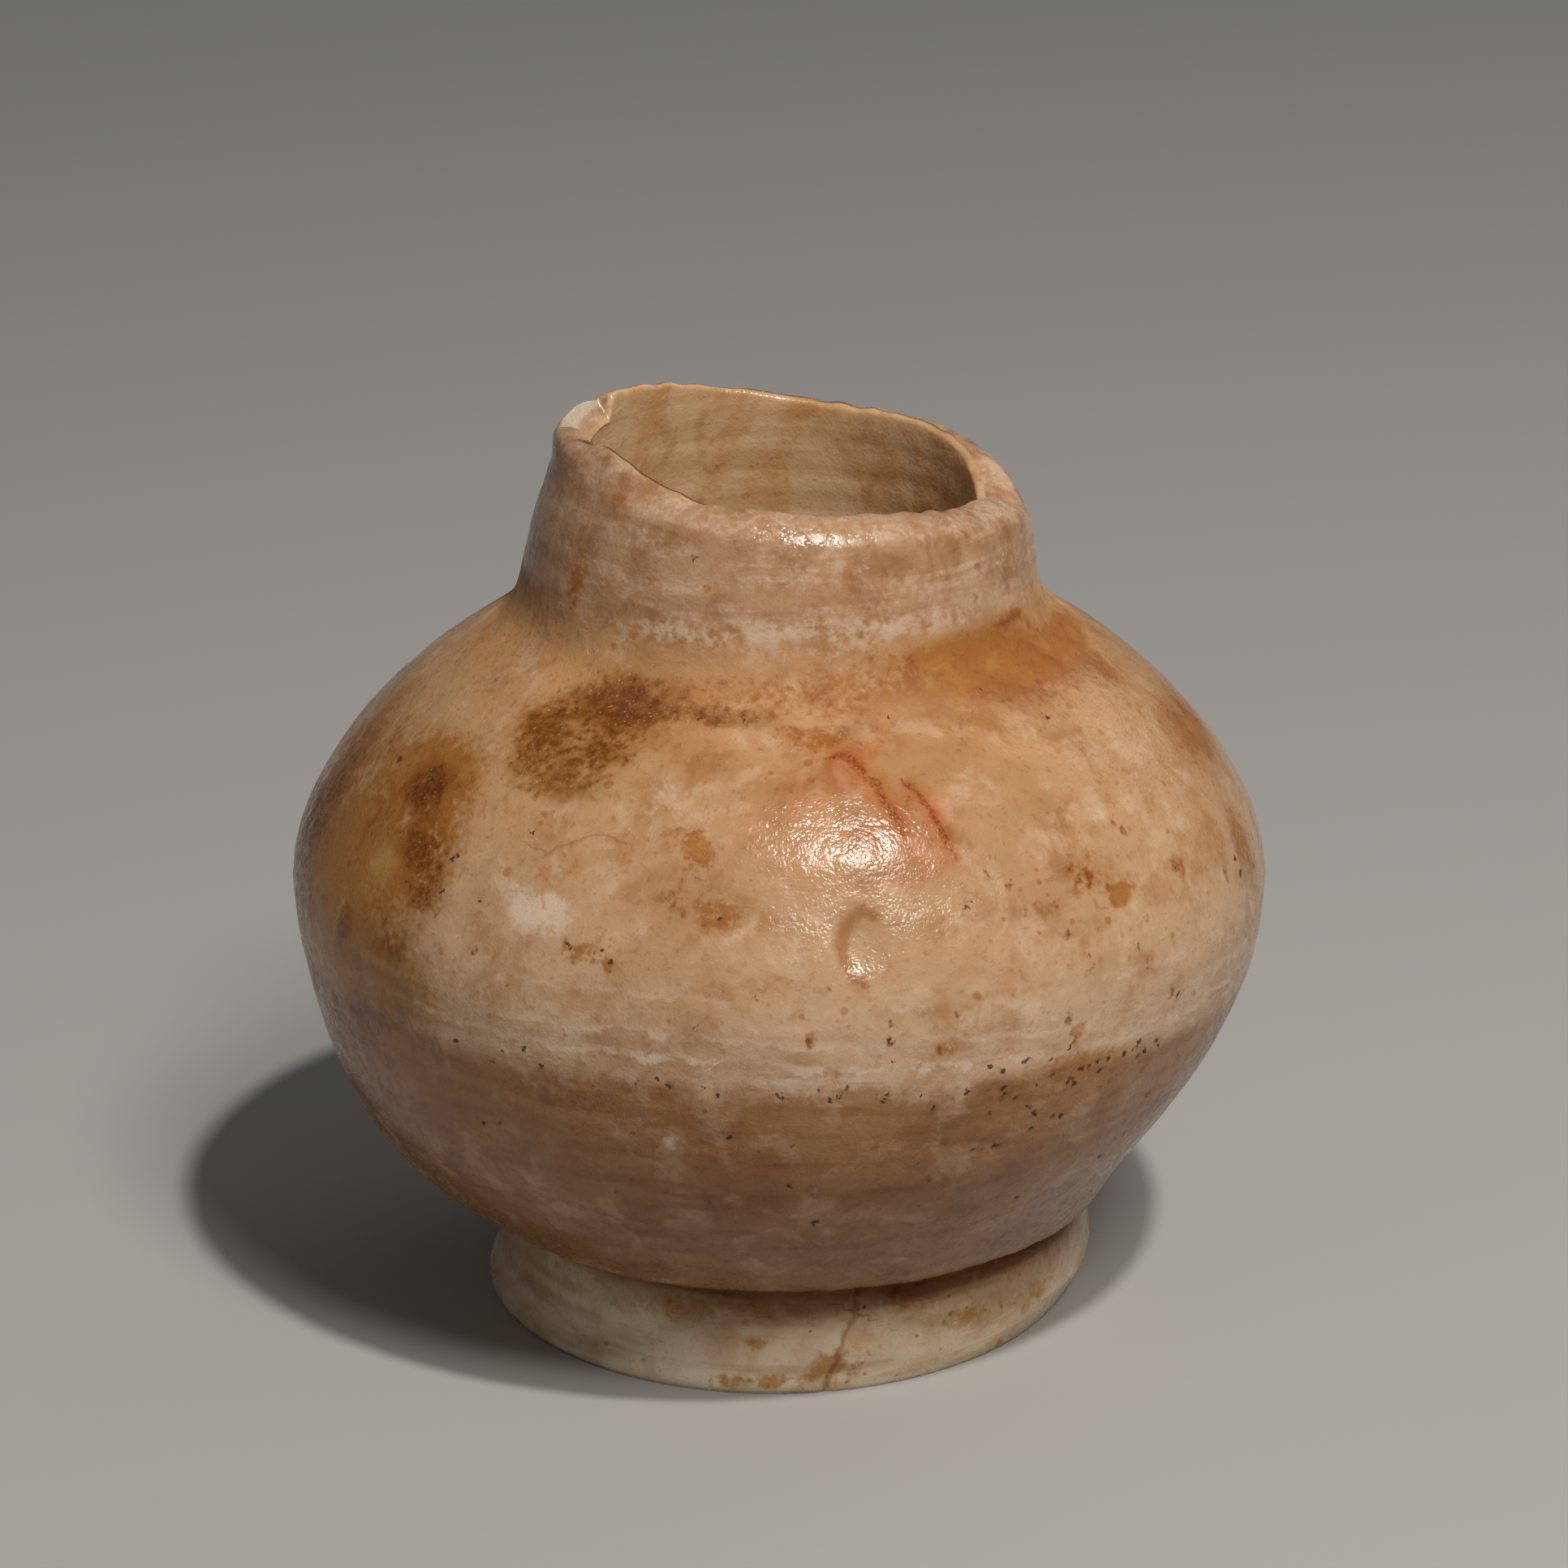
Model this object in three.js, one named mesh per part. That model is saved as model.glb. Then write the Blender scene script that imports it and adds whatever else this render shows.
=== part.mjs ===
// A small squat jar for eye paint, carved from one block of banded stone: a low disc foot,
// a full round body, a short tapering neck whose rim is broken and worn, and a drilled hollow.
// Millimetres, +Z up. The origin is on the ground, under the middle of the body.
import * as THREE from "three";

// Foot
const footRadius = 15.5; // the widest place of its rounded edge
const footWidestHeight = 2.2;
const standRadius = 15.2; // the flat underside
const footHeight = 5.3; // up to the groove under the belly
const grooveRadius = 14.5;
const footTopFullness = 2.1; // how squarely the edge turns in above its widest place

// Body
const bellyRadius = 25;
const bellyHeight = 22.9; // the height of its widest place
const bellyReach = 23.75; // how far below that place its lower curve would meet the axis
const bellyFullness = 1.86;
const bellyStart = 0.9; // where the lower curve leaves the groove, above it
const shoulderReach = 17.4;
const shoulderFullness = 1.74;

// Neck and rim
const neckRadius = 13.1; // where the neck stands on the shoulder
const neckBaseHeight = 38.1;
const neckBlend = 1.1; // how far the hollow curve at its root reaches each way
const rimRadius = 11.45;
const neckFullness = 1.5; // 1 is a straight taper, more bulges it
const rimHeight = 44.75; // the middle height of the broken rim
const rimWear = 1.4; // how far down the outer edge is worn round
const rimInnerWear = 0.35;
const rimWearFullness = 2.4; // more than 2 is squarer than a quarter circle
const crestInset = 1.15; // the rim's highest line, in from its outside

// Hollow
const rimWall = 1.6;
const bellyWall = 6.6;
const floorThickness = 8.4;
const boreLength = 8.6; // the straight drilled neck, from the middle height of the rim
const hollowHeight = 21.4; // the height of the widest place inside
const hollowFullness = 2.1;

// The broken rim is a plane that leans over, with rises and gaps along it
const rimLean = 1.5;
const rimLeanAngle = 172; // degrees from +X, the high side
const rimBreak = 1.35; // the depth of its deepest gap
const rimChips = [
  { angle: 3, share: -1, spread: 12 },
  { angle: 42, share: 0.42, spread: 24 },
  { angle: 135, share: 0.36, spread: 28 },
  { angle: 172, share: -0.26, spread: 9 },
  { angle: 215, share: 0.44, spread: 14 },
  { angle: 250, share: -0.2, spread: 10 },
  { angle: 300, share: 0.26, spread: 20 },
];

// The foot's edge wavers in lobes, one of them at the front
const footWaver = 0.2;
const footLobes = 3;
const footLobeAngle = 262;

// How far the round is off its axis, along X
const footOffset = 0.8;
const standOffset = -0.1;
const lowBellyOffset = -0.75;
const lowBellyHeight = 9.5;
const offsetFades = 20.5; // the height above which the body is true
const rimOffset = 0.1;

// Facets
const turns = 72;
const facetsFoot = 4;
const facetsBelly = 10;
const facetsShoulder = 9;
const facetsBlend = 4;
const facetsNeck = 3;
const facetsRim = 4;
const facetsBore = 3;
const facetsHollow = 8;
const facetsFloor = 12;
const facetsStand = 2;

const stoneColour = 0xb08a62;
const stoneRoughness = 0.45;

const degrees = (angle) => (angle * Math.PI) / 180;

// Points along a curve, without its first one
function along(curve, count) {
  return Array.from({ length: count }, (_, i) => curve((i + 1) / count));
}

function lineFrom(start, end) {
  return (t) => new THREE.Vector2().lerpVectors(start, end, t);
}

// A quarter of a rounded square, as wide as reach, between two angles
function roundedFrom(centre, reach, fullness, startAngle, endAngle) {
  return (t) => {
    const angle = THREE.MathUtils.lerp(startAngle, endAngle, t);
    const bend = (value) => Math.sign(value) * Math.abs(value) ** (2 / fullness);
    return new THREE.Vector2(
      centre.x + reach.x * bend(Math.cos(angle)),
      centre.y + reach.y * bend(Math.sin(angle)),
    );
  };
}

// The angle at which such a curve is at a given share of its reach
const angleAtHeight = (share, fullness) => Math.asin(share ** (fullness / 2));
const angleAtRadius = (share, fullness) => Math.acos(share ** (fullness / 2));

// The neck's radius at a height, also above the middle height of the rim
function neckRadiusAt(height) {
  const share = Math.max((height - neckBaseHeight) / (rimHeight - neckBaseHeight), 0);
  return neckRadius + (rimRadius - neckRadius) * share ** neckFullness;
}

function outside() {
  const quarter = Math.PI / 2;
  const stand = new THREE.Vector2(standRadius, 0);
  const footWidest = new THREE.Vector2(footRadius, footWidestHeight);
  const groove = new THREE.Vector2(grooveRadius, footHeight);
  const bellyCentre = new THREE.Vector2(0, bellyHeight);
  const lowStart = (bellyHeight - footHeight - bellyStart) / bellyReach;
  const shoulderEndRadius = neckRadius + neckBlend;
  const shoulderEnd = angleAtRadius(shoulderEndRadius / bellyRadius, shoulderFullness);
  const shoulder = roundedFrom(
    bellyCentre,
    new THREE.Vector2(bellyRadius, shoulderReach),
    shoulderFullness,
    0,
    shoulderEnd,
  );
  const blendTop = neckBaseHeight + neckBlend;
  const wearStart = rimHeight - rimWear;
  const blend = new THREE.QuadraticBezierCurve(
    shoulder(1),
    new THREE.Vector2(neckRadius, neckBaseHeight),
    new THREE.Vector2(neckRadiusAt(blendTop), blendTop),
  );
  const neck = (t) => {
    const height = THREE.MathUtils.lerp(blendTop, wearStart, t);
    return new THREE.Vector2(neckRadiusAt(height), height);
  };
  const crest = rimRadius - crestInset;
  return [
    new THREE.Vector2(0, 0),
    ...along(lineFrom(new THREE.Vector2(0, 0), stand), facetsStand),
    ...along(
      roundedFrom(
        new THREE.Vector2(standRadius, footWidestHeight),
        new THREE.Vector2(footRadius - standRadius, footWidestHeight),
        2,
        -quarter,
        0,
      ),
      facetsFoot,
    ),
    ...along(
      roundedFrom(
        new THREE.Vector2(grooveRadius, footWidestHeight),
        new THREE.Vector2(footWidest.x - groove.x, footHeight - footWidestHeight),
        footTopFullness,
        0,
        quarter,
      ),
      facetsFoot,
    ),
    ...along(
      roundedFrom(
        bellyCentre,
        new THREE.Vector2(bellyRadius, bellyReach),
        bellyFullness,
        -angleAtHeight(lowStart, bellyFullness),
        0,
      ),
      facetsBelly,
    ),
    ...along(shoulder, facetsShoulder),
    ...along((t) => blend.getPoint(t), facetsBlend),
    ...along(neck, facetsNeck),
    ...along(
      roundedFrom(
        new THREE.Vector2(crest, wearStart),
        new THREE.Vector2(neckRadiusAt(wearStart) - crest, rimWear),
        rimWearFullness,
        0,
        quarter,
      ),
      facetsRim,
    ),
  ];
}

function inside() {
  const quarter = Math.PI / 2;
  const mouthRadius = rimRadius - rimWall;
  const crest = rimRadius - crestInset;
  const hollowRadius = bellyRadius - bellyWall;
  const boreEnd = new THREE.Vector2(mouthRadius, rimHeight - boreLength);
  const hollowCentre = new THREE.Vector2(0, hollowHeight);
  const upperReach = (boreEnd.y - hollowHeight)
    / Math.sin(angleAtRadius(mouthRadius / hollowRadius, hollowFullness)) ** (2 / hollowFullness);
  return [
    ...along(
      roundedFrom(
        new THREE.Vector2(crest, rimHeight - rimInnerWear),
        new THREE.Vector2(mouthRadius - crest, rimInnerWear),
        2,
        quarter,
        0,
      ),
      facetsRim,
    ),
    ...along(lineFrom(new THREE.Vector2(mouthRadius, rimHeight - rimInnerWear), boreEnd), facetsBore),
    ...along(
      roundedFrom(
        hollowCentre,
        new THREE.Vector2(hollowRadius, upperReach),
        hollowFullness,
        angleAtRadius(mouthRadius / hollowRadius, hollowFullness),
        0,
      ),
      facetsHollow,
    ),
    ...along(
      roundedFrom(
        hollowCentre,
        new THREE.Vector2(hollowRadius, hollowHeight - floorThickness),
        hollowFullness,
        0,
        -quarter,
      ),
      facetsFloor,
    ),
  ];
}

// How high the broken rim stands at an angle round the jar
function rimRise(angle) {
  const lean = rimLean * Math.cos(angle - degrees(rimLeanAngle));
  return rimChips.reduce((rise, chip) => {
    const away = Math.atan2(
      Math.sin(angle - degrees(chip.angle)),
      Math.cos(angle - degrees(chip.angle)),
    );
    return rise + rimBreak * chip.share * Math.exp(-((away / degrees(chip.spread)) ** 2));
  }, lean);
}

// How far the foot's edge stands out at an angle, fading towards the groove
function footWaverAt(angle, height) {
  const fade = 1 - THREE.MathUtils.smoothstep(height, footWidestHeight, footHeight);
  return fade * footWaver * Math.cos(footLobes * (angle - degrees(footLobeAngle)));
}

// How far the round is off the axis at a height
function offsetAt(height) {
  const stations = [
    [0, standOffset],
    [footWidestHeight, footOffset],
    [(footWidestHeight + footHeight) / 2, footOffset],
    [lowBellyHeight, lowBellyOffset],
    [offsetFades, 0],
    [neckBaseHeight, 0],
    [rimHeight, rimOffset],
  ];
  const next = stations.findIndex(([at]) => at > height);
  if (next < 0) return rimOffset;
  const [before, from] = stations[Math.max(next - 1, 0)];
  const [after, to] = stations[next];
  return THREE.MathUtils.lerp(from, to, THREE.MathUtils.smoothstep(height, before, after));
}

// The turned form, then pushed out of true as the hand-carved jar is
function jarGeometry() {
  const geometry = new THREE.LatheGeometry([...outside(), ...inside()], turns);
  geometry.rotateX(Math.PI / 2);
  geometry.deleteAttribute("normal");
  geometry.deleteAttribute("uv");
  const position = geometry.getAttribute("position");
  const point = new THREE.Vector3();
  for (let i = 0; i < position.count; i += 1) {
    point.fromBufferAttribute(position, i);
    const radius = Math.hypot(point.x, point.y);
    const angle = Math.atan2(point.y, point.x);
    const share = Math.max((point.z - neckBaseHeight) / (rimHeight - neckBaseHeight), 0);
    const rise = share * rimRise(angle);
    const outward = THREE.MathUtils.clamp((radius - rimRadius + rimWall) / rimWall, 0, 1);
    const narrowing = neckRadiusAt(point.z + rise) - neckRadiusAt(point.z);
    const footShare = footWaverAt(angle, point.z) / footRadius;
    const taper = 1 + footShare + (outward * narrowing) / Math.max(radius, rimWall);
    point.x = point.x * taper + offsetAt(point.z);
    point.y *= taper;
    point.z += rise;
    position.setXYZ(i, point.x, point.y, point.z);
  }
  geometry.computeVertexNormals();
  return geometry;
}

const stone = new THREE.MeshStandardMaterial({
  color: stoneColour,
  roughness: stoneRoughness,
  metalness: 0,
});

const jar = new THREE.Mesh(jarGeometry(), stone);
jar.name = "kohl_jar";

const model = new THREE.Group();
model.add(jar);

export default model;
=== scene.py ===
import math
import bpy
import numpy as np
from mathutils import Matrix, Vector


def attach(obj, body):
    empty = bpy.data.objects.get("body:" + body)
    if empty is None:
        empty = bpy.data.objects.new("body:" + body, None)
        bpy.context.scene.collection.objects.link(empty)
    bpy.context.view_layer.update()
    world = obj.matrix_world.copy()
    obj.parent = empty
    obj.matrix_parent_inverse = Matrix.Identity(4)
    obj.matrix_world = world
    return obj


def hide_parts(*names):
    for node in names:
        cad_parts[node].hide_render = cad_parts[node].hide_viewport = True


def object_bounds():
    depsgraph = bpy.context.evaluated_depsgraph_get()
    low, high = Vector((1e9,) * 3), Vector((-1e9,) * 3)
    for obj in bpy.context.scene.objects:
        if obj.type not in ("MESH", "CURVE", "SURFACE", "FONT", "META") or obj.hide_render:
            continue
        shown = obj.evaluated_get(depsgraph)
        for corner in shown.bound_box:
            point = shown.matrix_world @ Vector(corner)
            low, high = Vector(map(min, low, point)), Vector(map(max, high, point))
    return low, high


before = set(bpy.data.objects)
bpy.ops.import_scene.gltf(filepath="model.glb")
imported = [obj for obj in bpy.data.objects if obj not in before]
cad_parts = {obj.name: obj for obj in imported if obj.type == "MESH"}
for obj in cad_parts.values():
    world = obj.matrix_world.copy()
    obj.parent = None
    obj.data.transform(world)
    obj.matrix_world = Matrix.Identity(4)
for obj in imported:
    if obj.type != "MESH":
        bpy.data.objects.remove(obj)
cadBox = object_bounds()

mm = 0.001  # sizes below are in millimetres, Blender's are in metres

# Turned form of the jar, the same sizes as its solid
jar = {
    "footRadius": 15.5,
    "footWidestHeight": 2.2,
    "standRadius": 15.2,
    "footHeight": 5.3,
    "grooveRadius": 14.5,
    "footTopFullness": 2.1,
    "bellyRadius": 25.0,
    "bellyHeight": 22.9,
    "bellyReach": 23.75,
    "bellyFullness": 1.86,
    "bellyStart": 0.9,
    "shoulderReach": 17.4,
    "shoulderFullness": 1.74,
    "neckRadius": 13.1,
    "neckBaseHeight": 38.1,
    "neckBlend": 1.1,
    "rimRadius": 11.45,
    "neckFullness": 1.5,
    "rimHeight": 44.75,
    "rimWear": 1.4,
    "rimInnerWear": 0.35,
    "rimWearFullness": 2.4,
    "crestInset": 1.15,
    "rimWall": 1.6,
    "bellyWall": 6.6,
    "floorThickness": 8.4,
    "boreLength": 8.6,
    "hollowHeight": 21.4,
    "hollowFullness": 2.1,
    "foldHeights": (33.5, 41.0),
    "foldReach": 1.5,  # how softly the neck rises from the shoulder
    # how finely the turned form is cut
    "turns": 400,
    "gapBody": 0.37,
    "gapFoot": 0.33,
    "gapNeck": 0.3,
    "gapLip": 0.17,
    "gapBore": 0.45,
    "gapHollow": 1.7,
    # hand carving, all of it takes stone away
    "unevenness": 0.1,
    "unevennessSize": 8.0,
    "scrapes": 0.05,
    "scrapesSize": 1.3,
    "ripples": 0.03,
    "rippleSpacing": 1.6,
    "pitDensity": 0.05,  # per square millimetre of the pitted band
    "pitRadius": 0.42,
    "pitDepth": 0.14,
    "pitBand": (15.5, 21.0),
    "crackWidth": 0.3,
    "crackDepth": 0.16,
    "seed": 11,
}

# The rim leans over and is broken, one rise or gap per line: angle, share, spread
rim = {
    "lean": 1.5,
    "leanAngle": 172.0,
    "break": 1.35,
    "chips": [
        (3, -1, 12),
        (42, 0.42, 24),
        (135, 0.36, 28),
        (172, -0.26, 9),
        (215, 0.44, 14),
        (250, -0.2, 10),
        (300, 0.26, 20),
    ],
    "roughness": 0.07,
    "lipTaper": 0.32,  # so that the worn edge goes on from the slope of the neck
    # where the outer edge is broken square, not worn round: angle, spread, fullness
    "square": (178.0, 26.0, 9.0),
    # painted shade: a dark line on the lip's inner edge and a faint one behind: from and to, in degrees
    "edgeShadeLine": (-166.0, -104.0),
    "faintEdgeShade": (10.0, 150.0),
    "edgeShadeWidth": 0.26,
    # the fresh break slopes down into the mouth: angle, half width, its outer radius, slope
    "fresh": (166.0, 14.0, 11.2, 1.25),
    "freshRoughness": 0.12,
    "freshPale": (10.35, 10.9),  # how far out it turns pale
}

# How the foot wavers, and how far the round is off its axis along X at each height
outOfTrue = {
    "footWaver": 0.2,
    "footLobes": 3,
    "footLobeAngle": 262.0,
    "offsets": [(0.0, -0.1), (2.2, 0.8), (3.75, 0.8), (9.5, -0.75), (20.5, 0.0), (38.1, 0.0), (44.75, 0.1)],
}

# The camera stands where the photographer's did, a little above the rim
camera = {
    "side": 0.23,
    "back": 262.0,
    "height": 118.0,
    "pitchDown": 19.14,  # degrees
    "lens": 124.3,
}

studio = {
    "floorSize": 4000.0,
    "floorColour": (0.42, 0.415, 0.41),
    "worldColour": (1.0, 0.97, 0.93),
    "worldStrength": 0.1,
    # each light: direction towards it, distance, size, watts, colour
    "key": ((0.3, -0.58, 0.755), 520.0, 120.0, 1.0, (1.0, 0.95, 0.88)),
    "glint": ((0.23, -0.452, 0.862), 520.0, 30.0, 1.6, (1.0, 0.96, 0.9)),
    "fill": ((-0.6, -0.9, 0.5), 700.0, 500.0, 0.05, (1.0, 0.97, 0.93)),
    "back": ((0.75, 0.9, 0.8), 700.0, 420.0, 0.3, (1.0, 0.97, 0.93)),
}

# Where each stain lies, and where a few patches paint highlights and shade as marked: angle round the jar,
# height, half width, half height, strength, tilt
stainsAndPaintedLight = {
    # the smoky square on the shoulder with its tail, and the long one at the left
    "brown": [
        (-134, 34.7, 1.5, 1.6, 0.65), (-131, 33.6, 1.8, 1.5, 0.75), (-128.6, 34.8, 2.4, 1.6, 0.4),
        (-126, 36, 2.6, 1.2, 0.5), (-121, 36.7, 2.4, 0.8, 0.4), (-128.5, 32.7, 2.2, 1.1, 0.4),
        (-119.5, 35.6, 2, 1.4, 0.6), (-122.2, 33.6, 2.6, 1.5, 0.45),
        (-116.4, 34.3, 2.2, 1.5, 0.45), (-121, 32.5, 3.2, 1.2, 0.42), (-109, 35.7, 4, 1.1, 0.5),
        (-100, 35.7, 4, 0.7, 0.6), (-145.5, 31.2, 2, 1.6, 0.95), (-141, 29.2, 2.4, 1.6, 0.5),
        (-138, 28.3, 2, 1.4, 0.6), (-137.5, 24.6, 2, 1, 0.4), (-136, 26.9, 1.7, 1.2, 0.6),
        (-150, 24, 1.2, 2, 0.6), (-141, 24, 1.6, 1, 0.5), (-142, 20.3, 0.8, 1, 0.4),
        # the two broad ones at -170 and -166 degrees are partly painted shade on the dark left side
        (-170, 27.5, 3.4, 5, 0.6), (-166, 22, 3, 6, 0.5), (-152, 29.5, 1.8, 2.4, 0.35),
    ],
    "amber": [
        (-123, 34.6, 5.4, 3.6, 0.55), (-140, 28.4, 3.2, 3.8, 0.9), (-144.5, 31.4, 3.4, 2.2, 0.8),
        (-148, 32.2, 2.8, 1.5, 0.8), (-144, 22.6, 5, 2.4, 1.1), (-152, 26, 2.4, 5, 0.7),
        # (-170, 27), (-154, 17) and (-164, 24) are partly painted shade on the dark left side
        (-148, 22, 3, 2.6, 0.7), (-170, 27, 6, 8, 0.6), (-154, 17, 9, 6, 0.6), (-164, 24, 7, 9, 1),
        (-96, 4.6, 7, 0.8, 0.45), (-112, 4, 5, 1, 0.4), (-147, 41, 5, 3, 0.35),
        (-97, 36.4, 10, 1.5, 0.5), (-52, 19.4, 7, 1, 0.6), (-126, 23, 5, 3, 0.25),
        (-41, 36.8, 6.5, 2.4, 0.9), (-30, 35.6, 5, 2.6, 0.6), (-62, 37, 8, 1.6, 0.5),
        (-6, 36, 4, 1.2, 1.2), (-13, 34.6, 1.4, 1.7, 1), (-6, 31, 5, 2.8, 0.9),
        (-15, 26, 1.9, 2.4, 1.1), (-48.6, 28.3, 1.6, 1.1, 0.6), (-51.5, 28.8, 1.4, 1, 0.5),
        (-56.3, 27.5, 1.2, 1.1, 0.4), (-71.6, 22, 1.3, 0.6, 0.9), (-64, 19, 1.3, 0.9, 0.6),
        (-55, 19.9, 2, 0.7, 0.6), (-65.4, 5.6, 2.6, 0.7, 1), (-71.1, 4.8, 1.2, 0.5, 0.6),
        (-55.7, 2.9, 1.4, 0.7, 0.8), (-47, 3.2, 5, 1.6, 0.35), (-35, 2.6, 3, 1, 0.4),
    ],
    "rust": [
        (-112.9, 26.3, 1.2, 0.7, 0.9, 20), (-115.2, 26.6, 0.5, 0.4, 0.8),
        (-109.4, 26, 0.6, 0.4, 1.1), (-103.2, 31.3, 1.4, 0.8, 0.6), (-100.2, 30.6, 1.1, 1.1, 0.8),
        (-103.2, 28.9, 1.6, 1.2, 0.65), (-97.1, 28.4, 1.2, 0.9, 1.3),
        (-72.2, 32.3, 1.5, 1.1, 0.45, 40), (-85.5, 35.2, 1.6, 0.8, 0.9),
        (-81.5, 34.9, 1.8, 0.6, 0.7, 25), (-67.3, 31.2, 0.5, 0.7, 0.6, 15),
        (-45, 27.5, 1.3, 0.8, 0.7), (-57.5, 27.8, 2.2, 1.7, 0.4), (-50, 28.4, 1.7, 0.9, 0.75, 25),
        (-46.4, 27.3, 0.8, 0.7, 0.8), (-34, 27.4, 0.6, 0.8, 0.9), (-28.5, 38.1, 2.2, 0.4, 1),
        (-86.5, 23, 0.6, 0.7, 0.6), (-71.6, 22, 1, 0.4, 0.7), (-55, 21.6, 0.8, 0.6, 0.7),
        (-38.8, 21.3, 0.5, 0.7, 0.8), (-97.5, 2.8, 0.8, 0.5, 0.8), (-84, 1.7, 1.2, 0.9, 0.6),
        (-92, 0.8, 2.2, 0.5, 0.8), (-101, 0.8, 1, 0.5, 0.8), (-77.5, 1.6, 1.6, 1.2, 0.6),
        (-142, 40.5, 1, 2.6, 0.7), (-134, 43.6, 1, 0.9, 0.7),
    ],
    "pale": [
        (-120, 27.7, 2.4, 1, 1.2, -20), (-117.6, 28.1, 0.9, 0.6, 1), (-146.2, 27.6, 1.6, 1.4, 0.8),
        # (-107, 33.2) is a painted highlight on the bulge's edge, and (-122, 35.9) and (-129, 34.6) are
        # painted glints in the brown stain
        (-107, 33.2, 1.9, 1.4, 0.4), (-64, 36, 3.6, 1.8, 0.45), (-49, 32.3, 0.8, 0.8, 0.5),
        (-44, 30.6, 1.6, 0.7, 0.45), (-102, 17.1, 0.8, 0.6, 0.6), (-122, 35.9, 1, 0.35, 0.7),
        (-129, 34.6, 0.8, 0.6, 0.45), (-93, 20.8, 5, 0.7, 0.55), (-80, 20.6, 4, 0.7, 0.45),
        (-86, 2.2, 3.2, 1.3, 0.5), (-107, 2, 3, 1.2, 0.45), (-68, 3, 2.4, 1.2, 0.4),
    ],
    # the salmon bulge on the front and the flush beside its red streak
    "pink": [
        (-85, 31.9, 4.6, 3.8, 0.8), (-71.5, 31.8, 2, 2.2, 1.1), (-78, 34.3, 2.4, 0.9, 1.1, 30),
        (-72, 30, 2.2, 0.9, 0.8), (-78, 3.2, 2, 1.5, 0.7),
    ],
    "grey": [
        (-162, 35.5, 8, 3.5, 0.4), (-150, 38, 5, 1.6, 0.4), (-161, 40, 3.6, 2.4, 0.6),
    ],
    # the pale ring where the neck meets the shoulder
    "worn": [
        (-112, 39, 3.6, 0.7, 0.8), (-88, 39.4, 5, 0.9, 0.8), (-62, 39.2, 4.4, 0.8, 1),
        (-46, 38.9, 1.6, 0.6, 0.7), (-84, 43, 1.8, 1.2, 0.5), (-124, 41.5, 2.2, 1.5, 0.4),
    ],
}

# Dark pits: angle round the jar, height, radius
pits = [
    # along the line between the dark and the pale stone
    (-129.1, 20.6, 0.22), (-122.4, 20.8, 0.15), (-119.4, 21.2, 0.22), (-117.3, 20.4, 0.18),
    (-105.5, 20.4, 0.2), (-103.6, 20.6, 0.17), (-98.4, 20.3, 0.22), (-90.2, 20, 0.16),
    (-86.9, 20.6, 0.1), (-85.8, 20.2, 0.14), (-84.4, 19.7, 0.22), (-83.9, 19.7, 0.18),
    (-83, 19.9, 0.16), (-82.6, 20.3, 0.19), (-81.8, 20.6, 0.1), (-79.3, 19.9, 0.12),
    (-77.9, 19.8, 0.21), (-77.6, 21.5, 0.15), (-73.9, 19.6, 0.12), (-68.7, 19.5, 0.19),
    (-64.5, 20.3, 0.23), (-59.5, 19.1, 0.16), (-57.8, 19.4, 0.2), (-54.7, 18.9, 0.3),
    (-54.4, 18.6, 0.24), (-53.6, 19.4, 0.22), (-52.4, 19.4, 0.2), (-51.2, 19.5, 0.22),
    (-49.9, 19.5, 0.2), (-47, 19.4, 0.22), (-45.3, 19.5, 0.24), (-44.7, 19.8, 0.26),
    (-41.4, 19.4, 0.24), (-65, 18, 0.18), (-58.9, 17.4, 0.22), (-55.8, 16.9, 0.24),
    (-54.6, 16.8, 0.22), (-123.7, 20.1, 0.18), (-106.1, 20.1, 0.22), (-102.1, 20.3, 0.24),
    (-96.9, 19.9, 0.24), (-89.8, 19.9, 0.2), (-83.3, 19.8, 0.24), (-78.2, 19.4, 0.24),
    (-74, 19.6, 0.14), (-72.4, 18.8, 0.14), (-66, 20.7, 0.18), (-61.6, 20.6, 0.18),
    (-58.4, 20.4, 0.16), (-43.3, 19.1, 0.24), (-40.6, 19, 0.2), (-38.5, 21.5, 0.22),
    (-60.1, 17.9, 0.2), (-63.8, 18.9, 0.16),
    # on the body
    (-145.6, 31.4, 0.22), (-147.2, 30.6, 0.2), (-133.9, 29, 0.22), (-140.2, 27.3, 0.18),
    (-114.2, 26.4, 0.13), (-111.4, 26.4, 0.13), (-67.2, 28.4, 0.24), (-66.8, 28.5, 0.14),
    (-134.1, 28.9, 0.24), (-133.7, 27.5, 0.18), (-128.1, 27.6, 0.19), (-124.9, 31, 0.2),
    (-124, 30.8, 0.16), (-114.9, 26.6, 0.18), (-110.4, 26.6, 0.15), (-109.2, 26.1, 0.16),
    (-97, 28.3, 0.2), (-104.7, 35.6, 0.16), (-96.2, 35.6, 0.16), (-69.9, 35.5, 0.2),
    (-39.8, 34.4, 0.2), (-55.7, 20.8, 0.24), (-78.1, 22.7, 0.18), (-156, 31.3, 0.3),
    (-70.2, 35.6, 0.16), (-69.6, 35.5, 0.13), (-39.7, 34.5, 0.16), (-48.5, 35.9, 0.13),
    (-34.6, 27.4, 0.24), (-34.3, 27.9, 0.18), (-20.2, 25.3, 0.28), (-20.4, 26.1, 0.2),
    # low on the body and on the neck
    (-87.7, 14.6, 0.2), (-83.8, 12, 0.3), (-72.6, 15.4, 0.18), (-40.8, 12.4, 0.25),
    (-54.7, 11.6, 0.22), (-110, 42.6, 0.15), (-76.4, 4.6, 0.2), (-62, 5.9, 0.22),
]

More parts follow.
